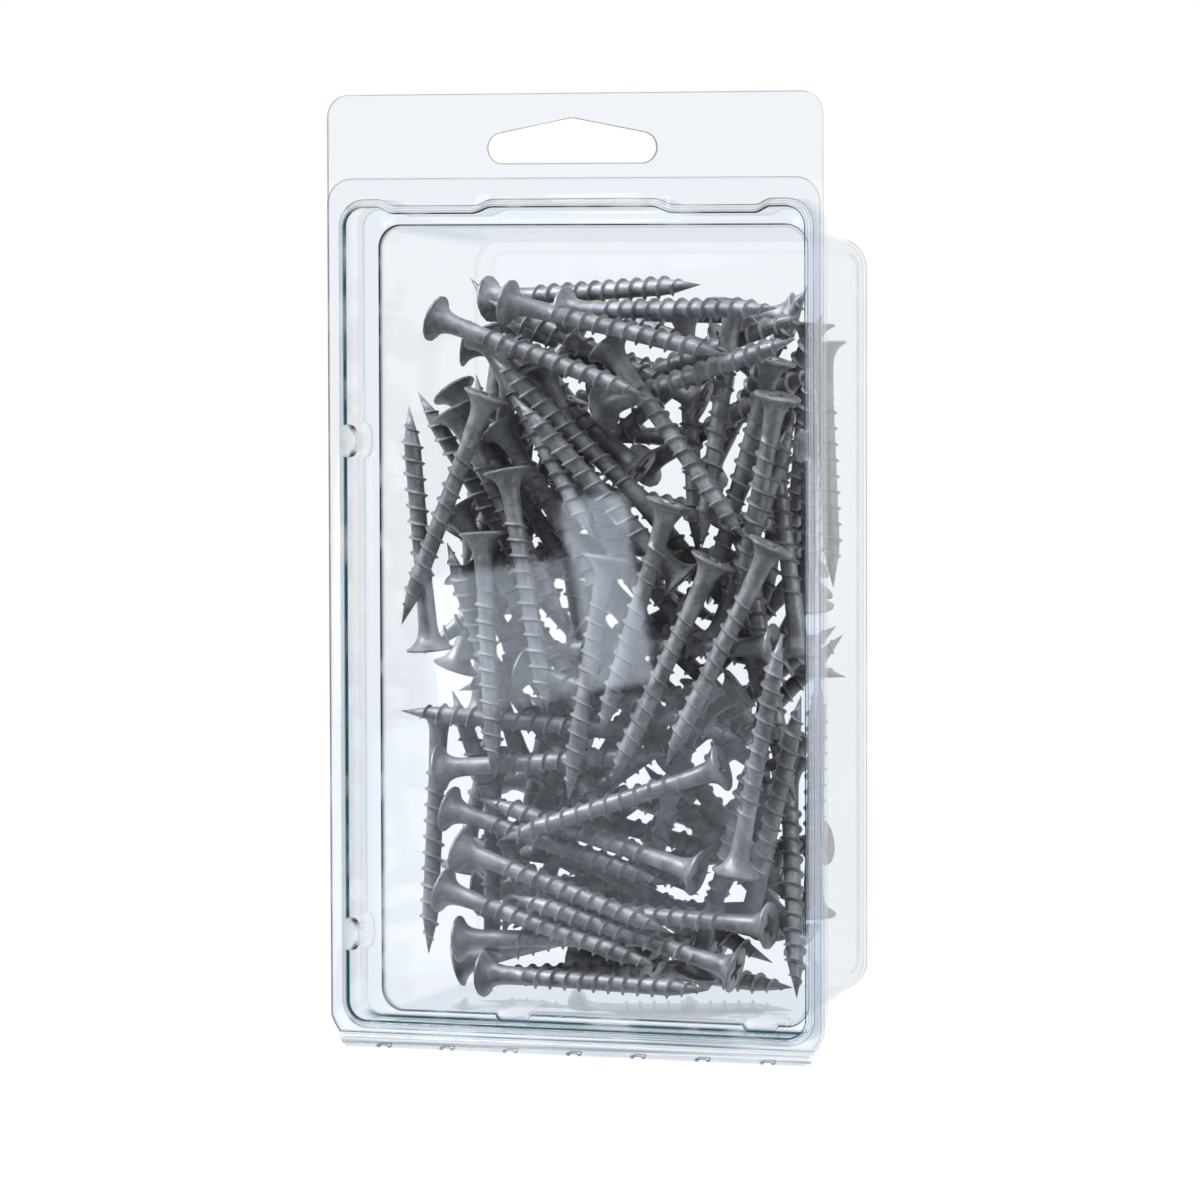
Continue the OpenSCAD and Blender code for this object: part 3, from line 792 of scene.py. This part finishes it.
def makeLid():
    recess, panelY, panelRound = lid["recess"], lid["panelY"], lid["panelRound"]
    y0 = -pack["gap"] / 2 - pack["sheet"]
    bend, steps, rise = pack["bend"], pack["bendSteps"], buttons["rise"]
    turns = [math.pi / 2 * i / steps for i in range(steps + 1)]

    def crescentMarks(marks, strength, isLine):
        # painted dark lines at the ends of the buttons, faint on the right
        count = buttons["points"]
        for row in range(len(buttons["rows"])):
            for i in range(1, count - 1):
                right = pack["cornerSteps"] + 1 + count * row + i
                left = (len(marks) - 1 - right) % len(marks)
                end = strength * max(math.exp(-((i - 3.0) / 2.0) ** 2), math.exp(-((i - 13.0) / 2.0) ** 2))
                marks[right] = max(0.12 * end, 0.3 if isLine else 0.0)
                marks[left] = max(end, 0.35 if isLine else 0.0)

    def ring(grow, y, mark, rise, step=lid["step"], crescent=0.0, under=0.0):
        # mark: the ring's number in the bend, or one value, for its painted line; under: painted shade of
        # the bottom wall
        loop = lidLoop(recess, grow, step, rise)
        marks = bendShade(loop, recess, mark) if isinstance(mark, int) else np.full(len(loop), mark)
        below = recess[1] + 1.4
        marks = [max(m, under * min(1.0, max(0.0, below - z) / 1.2)) for m, (x, z) in zip(marks, loop)]
        if crescent:
            crescentMarks(marks, crescent, mark == 7)
        return loop, y, marks

    rings = []
    for i, a in enumerate(turns):
        rings.append(ring(bend * (1 - math.sin(a)), y0 + bend * (1 - math.cos(a)), i,
                          1.2 * rise * math.sin(a) ** 0.7 if i else 0, crescent=bendMarks["button"][i]))
    wallTop, wallEnd = y0 + bend, panelY - panelRound
    # share of the wall's depth, painted shade of its bottom, painted dark of the buttons' ends
    for part, under, crescent in ((0.04, 0.0, 1.0), (0.10, 0.0, 0.1), (0.33, 0.0, 0.0),
                                  (0.8, 0.3, 0.0), (1.0, 1.0, 0.0)):
        rings.append(ring(0, wallTop + (wallEnd - wallTop) * part, 0.0, rise * (1.2 - 0.35 * part),
                          crescent=crescent, under=under))
    # the bend to the panel, with a faint painted line and painted shade of the bottom wall
    for i, a in list(enumerate(turns))[1:]:
        rings.append(ring(-panelRound * (1 - math.cos(a)), panelY - panelRound * (1 - math.sin(a)),
                          0.16 if 3 < i < 7 else 0.0, rise * 0.85, under=bendMarks["panelBottom"][i]))
    rings.append(ring(-1.7, panelY, 0.0, rise * 0.5, 0.8))
    rings.append(ring(-3.2, panelY, 0.0, 0, 0.4))

    sheet = Sheet()
    opening = sheet.rings(rings)
    size = (pack["width"] / 2 - lid["inset"], fold["top"], lid["height"], lid["corner"])
    near = addOutline(sheet, lambda inset: lidLoop(size, -inset, 0, 0, pack["cut"]), y0, edgeMarks["lid"])
    sheet.flat([near, opening])
    addBead(sheet, -1, y0, fold["half"] - lid["inset"])
    return sheetObject("clearLid", sheet, -1, 0.4)


clearTub = makeTub()
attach(clearTub, "tub")
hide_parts("back_shell")
clearLid = makeLid()
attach(clearLid, "lid")
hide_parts("front_shell")
for sheet in (clearTub, clearLid):
    sheet.visible_shadow = False        # clear enough to cast none
print("stage: clear sheet", len(clearTub.data.polygons), len(clearLid.data.polygons), "faces")


# white round the pack for the camera, plain light otherwise; mirrored, the
# surroundings are white behind the pack and dim on the camera's side
studio = {
    "sky": 0.26,
    "frontMirror": 0.16,
    "mirrorFade": (-0.55, 0.15),        # from front to back
    "floorBelow": 0.42,
    "floorLight": (0.9, 0.9, 0.9, 1),   # what the floor gives back to the pack
    "floorSeen": (0.5, 0.5, 0.5, 1),    # what the camera sees of it, with the glow added
    "nearGlow": 0.18,
    "farGlow": 0.88,
    "glowFade": (0.45, 2.0),            # metres from the hang hole, as the lamps' light falls off
    "clearLayers": 32,                  # a line of sight passes up to eight sheets of two faces
}


def mirrorLevel(way):
    return way.between(*studio["mirrorFade"]) * (1.0 - studio["frontMirror"]) + studio["frontMirror"]


def skyBackground(shade):
    way = shade.split(shade.node("ShaderNodeTexCoord", out="Generated"))[1]
    gloss = shade.ray("Is Glossy Ray")
    seen = shade.seen()
    plain = gloss * mirrorLevel(way) + (1.0 - gloss) * studio["sky"]
    level = seen + (1.0 - seen) * plain
    return shade.node("ShaderNodeBackground", None, {"Color": (1, 1, 1, 1), "Strength": level})


def floorSurface(shade):
    # matte, with a glow of its own that makes it white where no shadow falls
    place = shade.node("ShaderNodeTexCoord", out="Object")
    reach = shade.node("ShaderNodeVectorMath", {"operation": "LENGTH"}, {0: place}, "Value")
    way = shade.split(place)[1] / reach
    seen = shade.seen()
    gloss = shade.ray("Is Glossy Ray") * (1.0 - seen)
    glow = reach.between(*studio["glowFade"]) * (studio["farGlow"] - studio["nearGlow"]) + studio["nearGlow"]
    matte = shade.node("ShaderNodeBsdfPrincipled", None, {
        "Base Color": shade.mixColour(seen, studio["floorLight"], studio["floorSeen"]),
        "Roughness": 1.0, "Specular IOR Level": 0.0})
    mirrored = shade.node("ShaderNodeEmission", None, {"Color": (1, 1, 1, 1), "Strength": mirrorLevel(way)})
    shine = shade.node("ShaderNodeEmission", None, {"Color": (1, 1, 1, 1), "Strength": seen * glow})
    return shade.node("ShaderNodeAddShader", None, {0: shade.mixShader(gloss, matte, mirrored), 1: shine})


scene = bpy.context.scene
scene.world = bpy.data.worlds.new("studio")
scene.world.use_nodes = True
sky = Shade(scene.world.node_tree)
addNode(sky.tree, "ShaderNodeOutputWorld", None, {0: skyBackground(sky)})
z = foldZ * mm - studio["floorBelow"]
floor = newObject("floor", [(-6, -6, z), (6, -6, z), (6, 6, z), (-6, 6, z)], [(0, 1, 2, 3)],
                  newMaterial("paleFloor", floorSurface), 0.6)

# the camera, fitted to the edges of the pack; the aim is in mm above the fold
shot = {"yaw": 22.0, "pitch": 3.1, "roll": -0.17, "distance": 1.221, "aim": (5.19, 0.0, 80.2),
        "focal": 7000.0, "frame": 1200, "sensor": 36.0}


def wayFrom(azimuth, height):
    # azimuth 0 is in front of the pack, 90 to its right
    a, e = math.radians(azimuth), math.radians(height)
    return Vector((math.sin(a) * math.cos(e), -math.cos(a) * math.cos(e), math.sin(e)))


cam = bpy.data.cameras.new("camera")
camera = addObject("camera", cam)
cam.sensor_width = shot["sensor"]
cam.lens = shot["sensor"] * shot["focal"] / shot["frame"]
cam.clip_start, cam.clip_end = 0.05, 60
away = wayFrom(shot["yaw"], shot["pitch"])
aim = Vector((shot["aim"][0], shot["aim"][1], shot["aim"][2] + foldZ)) * mm
camera.location = aim + away * shot["distance"]
look = (-away).to_track_quat("-Z", "Y").to_matrix() @ Matrix.Rotation(math.radians(shot["roll"]), 3, "Z")
camera.rotation_euler = look.to_euler()
scene.camera = camera
scene.view_settings.view_transform = "Standard"
scene.cycles.transparent_max_bounces = studio["clearLayers"]


def areaLight(name, place, target, size, power, colour=(1, 1, 1), roll=0.0):
    light = bpy.data.lights.new(name, "AREA")
    light.shape = "RECTANGLE"
    light.size, light.size_y = size
    light.energy = power
    light.color = colour
    lamp = addObject(name, light)
    lamp.visible_camera = False
    lamp.location = place
    turn = (target - place).to_track_quat("-Z", "Y").to_matrix()
    lamp.rotation_euler = (turn @ Matrix.Rotation(math.radians(roll), 3, "Z")).to_euler()


def glareCard(name, across, up, wide, tall, level):
    # a card that the flat panel mirrors into the picture
    scale = shot["frame"] / shot["focal"]
    ray = (look @ Vector((across * scale, up * scale, -1.0))).normalized()
    hit = camera.location + ray * ((lid["panelY"] * mm - camera.location.y) / ray.y)
    mirrored = Vector((ray.x, -ray.y, ray.z))
    reach = (hit - camera.location).length + glare["far"]
    size = (wide * scale * reach, tall * scale * reach)
    areaLight(name, hit + mirrored * glare["far"], hit, size, level * math.pi * size[0] * size[1],
              glare["colour"], glare["roll"])


# soft lamps: azimuth, height, distance, size and watts
lamps = {
    "keyLeft": (-58, 42, 1.2, (0.6, 0.7), 23.5),
    "fillRight": (68, 18, 1.4, (0.7, 0.9), 7),
    "topSoft": (8, 74, 1.1, (0.7, 0.6), 12),
}
# cards: place from the middle and size, as parts of the picture, and brightness
glare = {
    "far": 2.0, "roll": 8.0, "colour": (0.82, 0.89, 1.0),
    "cards": {
        "glareTall": (0.008, 0.006, 0.055, 0.165, 12.4),
        "glareWide": (-0.080, -0.035, 0.120, 0.120, 8.6),
        "glareLow": (-0.030, -0.190, 0.330, 0.200, 2.8),
    },
}
middle = Vector((0, 0.02, -0.08))
for name, (azimuth, height, distance, size, power) in lamps.items():
    areaLight(name, middle + wayFrom(azimuth, height) * distance, middle, size, power)
for name, card in glare["cards"].items():
    glareCard(name, *card)
print("stage: studio")
